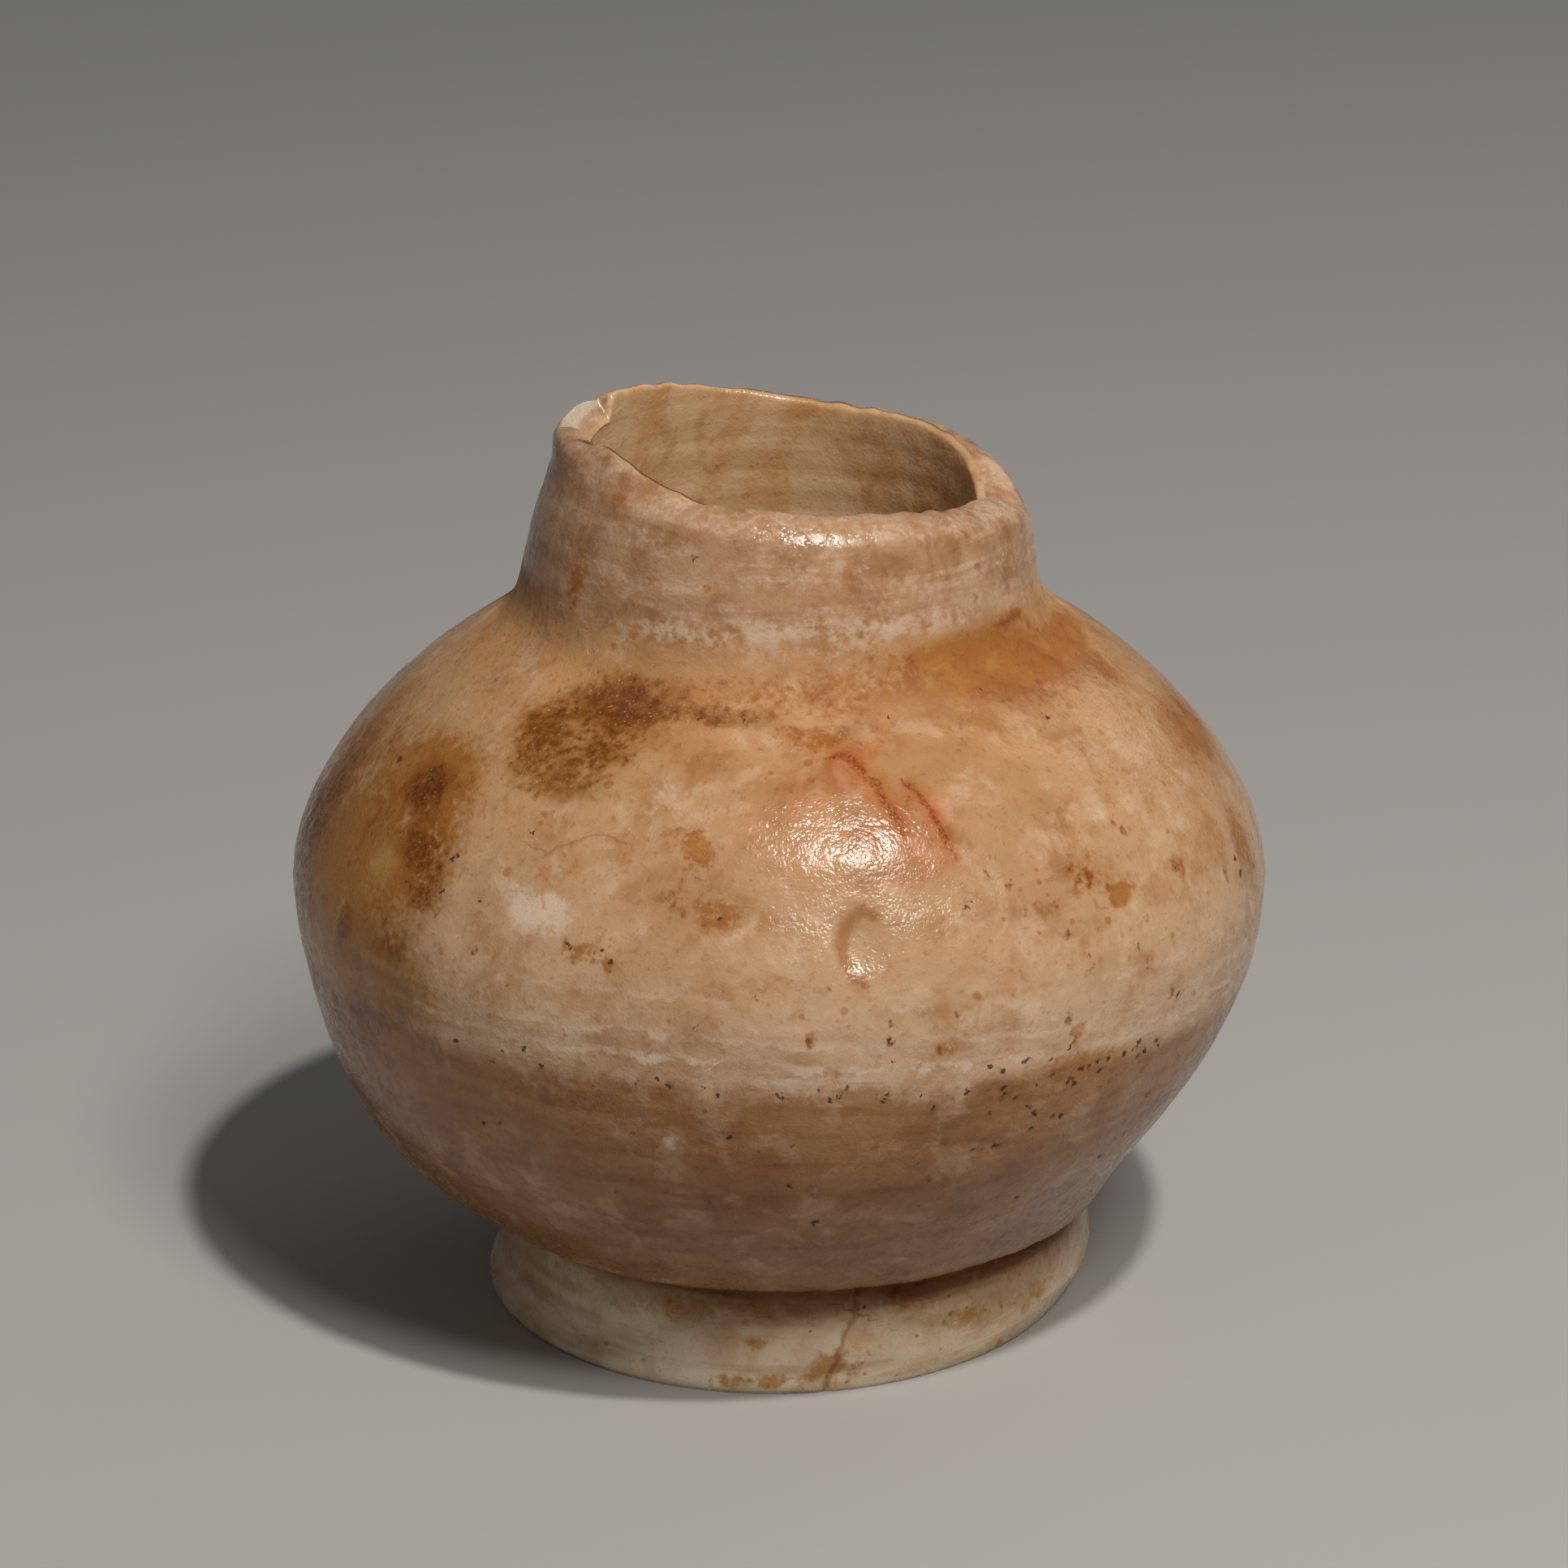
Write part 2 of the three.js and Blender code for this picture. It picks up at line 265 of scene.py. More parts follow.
# Short brown ticks in the pale stone: angle, height, radius
ticks = [
    (-63.6, 29.5, 0.2), (-61.1, 28.9, 0.24), (-54.9, 26.4, 0.22), (-52.5, 24.5, 0.22),
    (-52.8, 25.2, 0.16), (-42.6, 26, 0.2), (-44.1, 23.9, 0.2), (-45.1, 24.8, 0.18),
    (-40.7, 29.7, 0.26), (-41.6, 30.2, 0.2), (-24.5, 26, 0.26), (-39.7, 21.8, 0.26),
    (-84.5, 25.4, 0.16), (-77.7, 23.6, 0.18), (-70.3, 23.6, 0.2), (-56.2, 22.3, 0.26),
    (-55.2, 21.2, 0.24), (-86.7, 22.8, 0.24), (-78, 22.6, 0.24), (-95.4, 9, 0.22),
    (-105.8, 8.6, 0.24), (-108.9, 11.3, 0.2), (-99, 23.4, 0.14), (-92.4, 25, 0.14),
    (-121.5, 24.3, 0.16), (-126.6, 25.4, 0.18), (-88, 17, 0.18), (-70.5, 14.2, 0.2),
    (-97.6, 13.4, 0.18),
]

# Thin lines: where they run
lines = {
    "streak": [
        (-80.7, 34.4),
        (-79.2, 34.4),
        (-77.8, 34.1),
        (-77.0, 33.6),
        (-75.7, 33.3),
        (-75.2, 32.6),
        (-74.4, 32.2),
        (-73.5, 31.4),
    ],
    "branch": [(-70.7, 33.1), (-69.4, 32.6), (-68.6, 32.2), (-68.3, 31.5), (-67.5, 30.5)],
    "crack": [(-76.4, 5.3), (-78.3, 4.3), (-80.6, 3.3), (-82.0, 2.3), (-81.2, 0.2)],
    "dimple": [(-78.9, 28.4), (-80.6, 28.6), (-82.2, 28.0), (-82.8, 27.1), (-82.3, 26.3), (-81.1, 25.7)],
    "hairline": [(-124.3, 30.2), (-120.6, 30.1), (-117.2, 30.8), (-114.0, 31.2), (-110.6, 30.9)],
}

# Hollows in the outside, and one bulge: angle, height, half width, half height, depth
knocks = [
    (-84.8, 31.8, 8.8, 3.6, -0.33),
    (-80.6, 27.2, 1.2, 1.6, 0.2),
    (-81.9, 27.2, 0.6, 1.3, 0.12),
    (-67.0, 28.4, 0.5, 0.4, 0.1),
    (-75.0, 3.3, 2.6, 0.8, 0.25),
    (-63.5, 2.6, 2.4, 0.8, 0.25),
    (-50.6, 1.9, 2.4, 0.8, 0.25),
    (-106.0, 3.4, 3.5, 0.9, 0.15),
]


def degrees(angle):
    return angle * math.pi / 180.0


def smoothstep(value, start, end):
    share = np.clip((value - start) / (end - start), 0.0, 1.0)
    return share * share * (3.0 - 2.0 * share)


# the turned profile is made of curves, each point its radius and height
def line(start, end):
    share = np.linspace(0.0, 1.0, 40)[:, None]
    return np.array(start) * (1 - share) + np.array(end) * share


def rounded(centre, reach, fullness, startAngle, endAngle):
    angle = np.linspace(startAngle, endAngle, 400)
    across = np.sign(np.cos(angle)) * np.abs(np.cos(angle)) ** (2 / fullness)
    up = np.sign(np.sin(angle)) * np.abs(np.sin(angle)) ** (2 / fullness)
    return np.column_stack((centre[0] + reach[0] * across, centre[1] + reach[1] * up))


def neckRadiusAt(height):
    share = (height - jar["neckBaseHeight"]) / (jar["rimHeight"] - jar["neckBaseHeight"])
    bulge = np.maximum(share, 0) ** jar["neckFullness"]
    return jar["neckRadius"] + (jar["rimRadius"] - jar["neckRadius"]) * bulge


# points at even distances along a curve, without the first one
def evenly(curve, gap):
    steps = np.hypot(*np.diff(curve, axis=0).T)
    travelled = np.concatenate(([0.0], np.cumsum(steps)))
    count = max(int(round(travelled[-1] / gap)), 1)
    wanted = np.linspace(0.0, travelled[-1], count + 1)[1:]
    return np.column_stack([np.interp(wanted, travelled, curve[:, i]) for i in (0, 1)])


def outsideCurves():
    quarter = math.pi / 2
    foot = (jar["footRadius"], jar["footWidestHeight"])
    groove = (jar["grooveRadius"], jar["footHeight"])
    belly = (0.0, jar["bellyHeight"])
    startShare = (jar["bellyHeight"] - jar["footHeight"] - jar["bellyStart"]) / jar["bellyReach"]
    startAngle = -math.asin(startShare ** (jar["bellyFullness"] / 2))
    endShare = (jar["neckRadius"] + jar["neckBlend"]) / jar["bellyRadius"]
    endAngle = math.acos(endShare ** (jar["shoulderFullness"] / 2))
    bellyReach = (jar["bellyRadius"], jar["bellyReach"])
    shoulderReach = (jar["bellyRadius"], jar["shoulderReach"])
    lowBelly = rounded(belly, bellyReach, jar["bellyFullness"], startAngle, 0.0)
    shoulder = rounded(belly, shoulderReach, jar["shoulderFullness"], 0.0, endAngle)
    blendTop = jar["neckBaseHeight"] + jar["neckBlend"]
    wearStart = jar["rimHeight"] - jar["rimWear"]
    bend = np.linspace(0.0, 1.0, 60)[:, None]
    run = shoulder[-1] - shoulder[-2]
    corner = shoulder[-1] + run * (jar["neckRadius"] - shoulder[-1][0]) / run[0]
    blendEnd = np.array((neckRadiusAt(blendTop), blendTop))
    blend = shoulder[-1] * (1 - bend) ** 2 + 2 * corner * bend * (1 - bend) + blendEnd * bend ** 2
    heights = np.linspace(blendTop, wearStart, 60)
    neck = np.column_stack((neckRadiusAt(heights), heights))
    crest = jar["rimRadius"] - jar["crestInset"]
    lipReach = (neckRadiusAt(wearStart) - crest, jar["rimWear"])
    lip = rounded((crest, wearStart), lipReach, jar["rimWearFullness"], 0.0, quarter)
    standEdge = (jar["standRadius"], 0.0)
    footReach = (foot[0] - standEdge[0], foot[1])
    footTopReach = (foot[0] - groove[0], groove[1] - foot[1])
    return [
        (line((0.0, 0.0), standEdge), 1.5),
        (rounded((standEdge[0], foot[1]), footReach, 2.0, -quarter, 0.0), jar["gapFoot"]),
        (rounded((groove[0], foot[1]), footTopReach, jar["footTopFullness"], 0.0, quarter), jar["gapFoot"]),
        (line(groove, lowBelly[0]), jar["gapFoot"]),
        (lowBelly, jar["gapBody"]),
        (shoulder, jar["gapBody"]),
        (blend, jar["gapNeck"]),
        (neck, jar["gapNeck"]),
        (lip, jar["gapLip"]),
    ]


def insideCurves():
    quarter = math.pi / 2
    mouth = jar["rimRadius"] - jar["rimWall"]
    crest = jar["rimRadius"] - jar["crestInset"]
    radius = jar["bellyRadius"] - jar["bellyWall"]
    boreEnd = (mouth, jar["rimHeight"] - jar["boreLength"])
    centre = (0.0, jar["hollowHeight"])
    fullness = jar["hollowFullness"]
    topAngle = math.acos((mouth / radius) ** (fullness / 2))
    upperReach = (boreEnd[1] - centre[1]) / math.sin(topAngle) ** (2 / fullness)
    wear = jar["rimInnerWear"]
    lip = rounded((crest, jar["rimHeight"] - wear), (mouth - crest, wear), 2.0, quarter, 0.0)
    floorReach = (radius, centre[1] - jar["floorThickness"])
    return [
        (lip, jar["gapLip"]),
        (line((mouth, jar["rimHeight"] - wear), boreEnd), jar["gapBore"]),
        (rounded(centre, (radius, upperReach), fullness, topAngle, 0.0), jar["gapHollow"]),
        (rounded(centre, floorReach, fullness, 0.0, -quarter), jar["gapHollow"]),
    ]


# rounds the fold between two heights over a distance along the curve
def softened(points, low, high, reach):
    result = points.copy()
    for i in range(len(points)):
        fade = smoothstep(points[i, 1], low, low + 1.5) * (1 - smoothstep(points[i, 1], high - 1.5, high))
        weight = np.exp(-((np.hypot(*(points - points[i]).T) / reach) ** 2))
        result[i] += fade * (weight @ points / weight.sum() - points[i])
    return result


outsidePoints = np.vstack([[(0.0, 0.0)]] + [evenly(curve, gap) for curve, gap in outsideCurves()])
outsidePoints = softened(outsidePoints, *jar["foldHeights"], jar["foldReach"])
insidePoints = np.vstack([evenly(curve, gap) for curve, gap in insideCurves()])
print("profile has", len(outsidePoints), "points outside and", len(insidePoints), "inside")


# short names for building node trees
class Nodes:
    def __init__(self, tree):
        self.tree = tree

    def add(self, kind, values=None, **settings):
        node = self.tree.nodes.new(kind)
        for name, value in settings.items():
            setattr(node, name, value)
        for socket, value in (values or {}).items():
            self.put(node.inputs[socket], value)
        return node

    def put(self, socket, value):
        if isinstance(value, bpy.types.NodeSocket):
            self.tree.links.new(value, socket)
        else:
            socket.default_value = value

    def math(self, operation, first, second=0.0):
        return self.add("ShaderNodeMath", {0: first, 1: second}, operation=operation).outputs[0]

    def vector(self, operation, first, second):
        node = self.add("ShaderNodeVectorMath", {0: first, 1: second}, operation=operation)
        return node.outputs["Value"] if operation in ("DOT_PRODUCT", "DISTANCE") else node.outputs["Vector"]

    def scaled(self, vector, scale):
        node = self.add("ShaderNodeVectorMath", {0: vector, "Scale": scale}, operation="SCALE")
        return node.outputs["Vector"]

    def ranged(self, value, low, high, toLow=0.0, toHigh=1.0, smooth=True):
        kind = "SMOOTHSTEP" if smooth else "LINEAR"
        values = {0: value, 1: low, 2: high, 3: toLow, 4: toHigh}
        return self.add("ShaderNodeMapRange", values, interpolation_type=kind).outputs[0]

    def noise(self, vector, scale, detail=3.0, roughness=0.5, distortion=0.0):
        values = {
            "Vector": vector,
            "Scale": scale,
            "Detail": detail,
            "Roughness": roughness,
            "Distortion": distortion,
        }
        return self.add("ShaderNodeTexNoise", values).outputs[0]


# the jar is turned by a node tree from its profile
def makeProfile():
    points = np.vstack((outsidePoints, insidePoints))
    data = bpy.data.meshes.new("profile")
    corners = [(radius * mm, 0.0, height * mm) for radius, height in points]
    data.from_pydata(corners, [(i, i + 1) for i in range(len(corners) - 1)], [])
    inner = data.attributes.new("inner", "FLOAT", "POINT")
    inner.data.foreach_set("value", [0.0] * len(outsidePoints) + [1.0] * len(insidePoints))
    shape = bpy.data.objects.new("carved_jar", data)
    bpy.context.scene.collection.objects.link(shape)
    return shape


def turnedTree():
    tree = bpy.data.node_groups.new("turnedJar", "GeometryNodeTree")
    face = tree.interface
    face.new_socket("Geometry", in_out="INPUT", socket_type="NodeSocketGeometry")
    for name, kind in (
        ("Turns", "NodeSocketInt"),
        ("Unevenness", "NodeSocketFloat"),
        ("Unevenness size", "NodeSocketFloat"),
        ("Scrapes", "NodeSocketFloat"),
        ("Scrapes size", "NodeSocketFloat"),
        ("Ripples", "NodeSocketFloat"),
        ("Ripple spacing", "NodeSocketFloat"),
        ("Pit density", "NodeSocketFloat"),
        ("Pit radius", "NodeSocketFloat"),
        ("Pit depth", "NodeSocketFloat"),
        ("Pits from", "NodeSocketFloat"),
        ("Pits to", "NodeSocketFloat"),
        ("Seed", "NodeSocketInt"),
        ("Material", "NodeSocketMaterial"),
    ):
        face.new_socket(name, in_out="INPUT", socket_type=kind)
    face.new_socket("Geometry", in_out="OUTPUT", socket_type="NodeSocketGeometry")

    n = Nodes(tree)
    given = tree.nodes.new("NodeGroupInput").outputs
    size = n.add("GeometryNodeAttributeDomainSize", {"Geometry": given["Geometry"]}, component="MESH")
    around = n.math("ADD", given["Turns"], 1.0)
    grid = n.add("GeometryNodeMeshGrid", {
        "Vertices X": size.outputs["Point Count"],
        "Vertices Y": around,
    })
    index = n.add("GeometryNodeInputIndex").outputs[0]
    ring = n.math("FLOOR", n.math("DIVIDE", n.math("ADD", index, 0.5), around))
    step = n.math("SUBTRACT", index, n.math("MULTIPLY", ring, around))
    angle = n.math("MULTIPLY", n.math("DIVIDE", step, given["Turns"]), 2 * math.pi)
    place = n.add("GeometryNodeInputPosition").outputs[0]
    onProfile = n.add("GeometryNodeSampleIndex", {
        "Geometry": given["Geometry"],
        "Index": ring,
    }, data_type="FLOAT_VECTOR", domain="POINT")
    n.put(onProfile.inputs["Value"], place)
    inner = n.add("GeometryNodeInputNamedAttribute", {"Name": "inner"}, data_type="FLOAT").outputs[0]
    innerThere = n.add("GeometryNodeSampleIndex", {
        "Geometry": given["Geometry"],
        "Index": ring,
    }, data_type="FLOAT", domain="POINT")
    n.put(innerThere.inputs["Value"], inner)
    there = n.add("ShaderNodeSeparateXYZ", {0: onProfile.outputs[0]}).outputs
    turned = n.add("ShaderNodeCombineXYZ", {
        "X": n.math("MULTIPLY", there["X"], n.math("COSINE", angle)),
        "Y": n.math("MULTIPLY", there["X"], n.math("SINE", angle)),
        "Z": there["Z"],
    }).outputs[0]
    kept = n.add("GeometryNodeStoreNamedAttribute", {
        "Geometry": grid.outputs["Mesh"],
        "Name": "inner",
    }, data_type="FLOAT", domain="POINT")
    n.put(kept.inputs["Value"], innerThere.outputs[0])
    shaped = n.add("GeometryNodeSetPosition", {"Geometry": kept.outputs[0], "Position": turned})
    closed = n.add("GeometryNodeMergeByDistance", {"Geometry": shaped.outputs[0], "Distance": 1e-6})
    outward = n.add("GeometryNodeFlipFaces", {"Mesh": closed.outputs[0]})

    # the tool's unevenness, deeper in places, and its ripples inside the drilled neck
    normal = n.add("GeometryNodeInputNormal").outputs[0]
    height = n.add("ShaderNodeSeparateXYZ", {0: place}).outputs["Z"]
    seeded = n.vector("ADD", place, n.add("ShaderNodeCombineXYZ", {0: given["Seed"]}).outputs[0])
    broad = n.noise(n.scaled(seeded, n.math("DIVIDE", 1.0, given["Unevenness size"])), 1.0, 2.0)
    fine = n.noise(n.scaled(seeded, n.math("DIVIDE", 1.0, given["Scrapes size"])), 1.0, 2.0)
    offStand = n.ranged(height, 0.3 * mm, 1.6 * mm)
    swell = n.math("MULTIPLY", n.ranged(broad, 0.25, 0.75), given["Unevenness"])
    scrape = n.math("MULTIPLY", n.ranged(fine, 0.3, 0.7), given["Scrapes"])
    wave = n.math("MULTIPLY", n.math("DIVIDE", height, given["Ripple spacing"]), 2 * math.pi)
    wavy = n.math("SINE", n.math("ADD", wave, n.math("MULTIPLY", broad, 9.0)))
    ripple = n.math("MULTIPLY", n.math("MULTIPLY", n.math("ADD", wavy, 1.0), given["Ripples"]), inner)
    depth = n.math("MULTIPLY", n.math("ADD", n.math("ADD", swell, scrape), ripple), offStand)
    worn = n.add("GeometryNodeSetPosition", {
        "Geometry": outward.outputs[0],
        "Offset": n.scaled(normal, n.math("MULTIPLY", depth, -1.0)),
    })

    # pits along the band, scattered with a fixed seed
    above = n.math("GREATER_THAN", height, given["Pits from"])
    below = n.math("LESS_THAN", height, given["Pits to"])
    outer = n.math("LESS_THAN", inner, 0.5)
    inBand = n.math("MULTIPLY", n.math("MULTIPLY", above, below), outer)
    scattered = n.add("GeometryNodeDistributePointsOnFaces", {
        "Mesh": worn.outputs[0],
        "Selection": inBand,
        "Density": given["Pit density"],
        "Seed": given["Seed"],
    }, distribute_method="RANDOM")
    near = n.add("GeometryNodeProximity", {0: scattered.outputs[0]}, target_element="POINTS")
    pit = n.ranged(near.outputs["Distance"], 0.0, given["Pit radius"], 1.0, 0.0)
    pitted = n.add("GeometryNodeStoreNamedAttribute", {
        "Geometry": worn.outputs[0],
        "Name": "pit",
    }, data_type="FLOAT", domain="POINT")
    n.put(pitted.inputs["Value"], n.math("MULTIPLY", pit, outer))
    sunk = n.math("MULTIPLY", n.math("MULTIPLY", pit, outer), given["Pit depth"])
    dented = n.add("GeometryNodeSetPosition", {
        "Geometry": pitted.outputs[0],
        "Offset": n.scaled(normal, n.math("MULTIPLY", sunk, -1.0)),
    })
    smooth = n.add("GeometryNodeSetShadeSmooth", {"Geometry": dented.outputs[0]})
    real = n.add("GeometryNodeRealizeInstances", {"Geometry": smooth.outputs[0]})
    finished = n.add("GeometryNodeSetMaterial", {
        "Geometry": real.outputs[0],
        "Material": given["Material"],
    })
    result = tree.nodes.new("NodeGroupOutput")
    tree.links.new(finished.outputs[0], result.inputs[0])
    return tree


def turnJar(material):
    shape = makeProfile()
    tree = turnedTree()
    modifier = shape.modifiers.new("turned", "NODES")
    modifier.node_group = tree
    settings = {
        "Turns": jar["turns"],
        "Unevenness": jar["unevenness"] * mm,
        "Unevenness size": jar["unevennessSize"] * mm,
        "Scrapes": jar["scrapes"] * mm,
        "Scrapes size": jar["scrapesSize"] * mm,
        "Ripples": jar["ripples"] * mm / 2,
        "Ripple spacing": jar["rippleSpacing"] * mm,
        "Pit density": jar["pitDensity"] / mm ** 2,
        "Pit radius": jar["pitRadius"] * mm,
        "Pit depth": jar["pitDepth"] * mm,
        "Pits from": jar["pitBand"][0] * mm,
        "Pits to": jar["pitBand"][1] * mm,
        "Seed": jar["seed"],
        "Material": material,
    }
    for socket in tree.interface.items_tree:
        if socket.in_out == "INPUT" and socket.name in settings:
            modifier[socket.identifier] = settings[socket.name]
    evaluated = shape.evaluated_get(bpy.context.evaluated_depsgraph_get())
    mesh = bpy.data.meshes.new_from_object(evaluated)
    shape.modifiers.clear()
    shape.data = mesh
    return shape


def wrapped(angle):
    return np.arctan2(np.sin(angle), np.cos(angle))


# a place on the turned outside, its normal and the two directions along it
def onOutside(angle, height):
    heights = outsidePoints[:, 1]
    radii = outsidePoints[:, 0]
    first = np.searchsorted(heights, 0.02)
    radius = np.interp(height, heights[first:], radii[first:])
    rise = np.interp(height + 0.4, heights[first:], radii[first:]) - radius
    cosine, sine = math.cos(degrees(angle)), math.sin(degrees(angle))
    point = np.array((radius * cosine, radius * sine, height))
    across = np.array((-sine, cosine, 0.0))
    up = np.array((rise * cosine, rise * sine, 0.4))
    up /= np.linalg.norm(up)
    return point, np.cross(across, up), across, up


# 1 in the middle of a patch on the outside, 0 at its edge, below 0 past it
def patch(points, angle, height, halfWidth, halfHeight, tilt=0.0):
    centre, normal, across, up = onOutside(angle, height)
    away = points - centre
    right = away @ across
    high = away @ up
    turn = degrees(tilt)
    long = right * math.cos(turn) + high * math.sin(turn)
    short = high * math.cos(turn) - right * math.sin(turn)
    deep = away @ normal
    field = 1.0 - np.sqrt((long / halfWidth) ** 2 + (short / halfHeight) ** 2)
    return np.where(np.abs(deep) < 5.0, np.maximum(field, -3.0), -3.0)


# how far each point is from a line, with a sign for its side, and where the line is drawn
def lineField(points, places):
    corners = [onOutside(angle, height) for angle, height in places]
    across = np.full(len(points), 99.0)
    within = np.zeros(len(points))
    for (start, normal, *_), (end, *_) in zip(corners[:-1], corners[1:]):
        run = end - start
        length = np.linalg.norm(run)
        away = points - start
        share = (away @ run) / length ** 2
        nearest = start + np.clip(share, 0.0, 1.0)[:, None] * run
        distance = np.linalg.norm(points - nearest, axis=1)
        side = np.sign(np.cross(run, away) @ normal)
        closer = distance < np.abs(across)
        across = np.where(closer, distance * np.where(side == 0, 1, side), across)
        inside = (share > -0.5 / length) & (share < 1 + 0.5 / length)
        within = np.maximum(within, np.where(inside, 1.0, 0.0) * (distance < 3.0))
    return across, within


def rimRise(angle):
    rise = rim["lean"] * np.cos(angle - degrees(rim["leanAngle"]))
    for chipAngle, share, spread in rim["chips"]:
        away = wrapped(angle - degrees(chipAngle))
        rise = rise + rim["break"] * share * np.exp(-((away / degrees(spread)) ** 2))
    return rise


# a seeded uneven line round the rim, between about -1 and 1
def crumbles(angle, seed, count=9):
    random = np.random.default_rng(seed)
    waves = sum(
        np.sin(angle * int(turn) + random.uniform(0, 6.28)) / (1 + i * 0.25)
        for i, turn in enumerate(random.integers(7, 48, count))
    )
    return waves / 2.6


def offsetAt(height):
    result = np.full_like(height, outOfTrue["offsets"][-1][1])
    for (low, before), (high, after) in zip(outOfTrue["offsets"][:-1], outOfTrue["offsets"][1:]):
        here = (height >= low) & (height < high)
        result = np.where(here, before + (after - before) * smoothstep(height, low, high), result)
    return np.where(height < 0, outOfTrue["offsets"][0][1], result)


def carve(points, inner):
    x, y, z = points.T
    radius = np.hypot(x, y)
    angle = np.arctan2(y, x)
    span = jar["rimHeight"] - jar["neckBaseHeight"]
    share = np.maximum((z - jar["neckBaseHeight"]) / span, 0.0)

    # the outer edge of the rim is square where it broke
    squareAngle, spread, fullness = rim["square"]
    broken = np.exp(-((wrapped(angle - degrees(squareAngle)) / degrees(spread)) ** 4))
    crest = jar["rimRadius"] - jar["crestInset"]
    wearStart = jar["rimHeight"] - jar["rimWear"]
    reach = neckRadiusAt(wearStart) - crest
    onLip = (inner < 0.5) & (z > wearStart)
    worn = 2 / jar["rimWearFullness"]
    turn = np.arcsin(np.clip((z - wearStart) / jar["rimWear"], 0, 1) ** (1 / worn))
    power = 2 / (2.0 + (fullness - 2.0) * broken)
    wider = reach * (np.cos(turn) ** power - np.cos(turn) ** worn)
    higher = jar["rimWear"] * (np.sin(turn) ** power - np.sin(turn) ** worn)
    radius = radius + np.where(onLip, wider, 0.0)
    z = z + np.where(onLip, higher, 0.0)
    drawnIn = 1 - rim["lipTaper"] * (1 - broken) * (z - wearStart) / jar["rimWear"]
    radius = np.where(onLip, crest + (radius - crest) * drawnIn, radius)

    rise = share * rimRise(angle)
    rise = rise + share ** 3 * rim["roughness"] * crumbles(angle, 5)
    outward = np.clip((radius - jar["rimRadius"] + jar["rimWall"]) / jar["rimWall"], 0, 1)
    narrowing = neckRadiusAt(z + rise) - neckRadiusAt(z)
    fade = 1 - smoothstep(z, jar["footWidestHeight"], jar["footHeight"])
    waver = np.cos(outOfTrue["footLobes"] * (angle - degrees(outOfTrue["footLobeAngle"])))
    taper = 1 + fade * outOfTrue["footWaver"] * waver / jar["footRadius"]
    taper = taper + outward * narrowing / np.maximum(radius, jar["rimWall"])
    newX = radius * np.cos(angle) * taper + offsetAt(z)
    newY = radius * np.sin(angle) * taper
    newZ = z + rise

    # the fresh break is a rough facet that slopes down into the mouth
    middle, half, edgeRadius, slope = rim["fresh"]
    away = np.abs(wrapped(angle - degrees(middle))) / degrees(1)
    top = jar["rimHeight"] + rimRise(angle)
    cutHeight = top + slope * (radius * taper - edgeRadius) + rim["freshRoughness"] * crumbles(angle, 21)
    cutHeight = cutHeight + 4.0 * smoothstep(away, half, half + 5)
    over = np.where((share > 0.4) & (radius > jar["rimRadius"] - 3), newZ - cutHeight, 0.0)
    fresh = np.clip(over / 0.1 + 0.5, 0.0, 1.0) * (share > 0.4)
    fresh = fresh * (0.25 + 0.75 * smoothstep(radius * taper, *rim["freshPale"]))
    newZ = newZ - 0.98 * np.maximum(over, 0.0)
    newZ = np.minimum(newZ, cadBox[1][2] / mm - 0.02)
    return np.column_stack((newX, newY, newZ)), fresh


def store(mesh, name, values):
    attribute = mesh.attributes.new(name, "FLOAT", "POINT")
    attribute.data.foreach_set("value", np.asarray(values, dtype=np.float32))


# each face keeps the place and the radius of the mark that is nearest to it
def nearestMarks(mesh, name, marks):
    faces = np.empty(len(mesh.polygons) * 3)
    mesh.polygons.foreach_get("center", faces)
    faces = faces.reshape(-1, 3) / mm
    turned = np.array([onOutside(angle, height)[0] for angle, height, _ in marks])
    places = carve(turned, np.zeros(len(marks)))[0]
    radii = np.array([radius for _, _, radius in marks])
    nearest = np.zeros(len(faces), dtype=int)
    shortest = np.full(len(faces), 999.0)
    for i, place in enumerate(places):
        away = np.linalg.norm(faces - place, axis=1) - radii[i]
        nearest = np.where(away < shortest, i, nearest)
        shortest = np.minimum(away, shortest)
    place = mesh.attributes.new(name + "Place", "FLOAT_VECTOR", "FACE")
    place.data.foreach_set("vector", places[nearest].astype(np.float32).ravel())
    reach = mesh.attributes.new(name + "Radius", "FLOAT", "FACE")
    reach.data.foreach_set("value", radii[nearest].astype(np.float32))


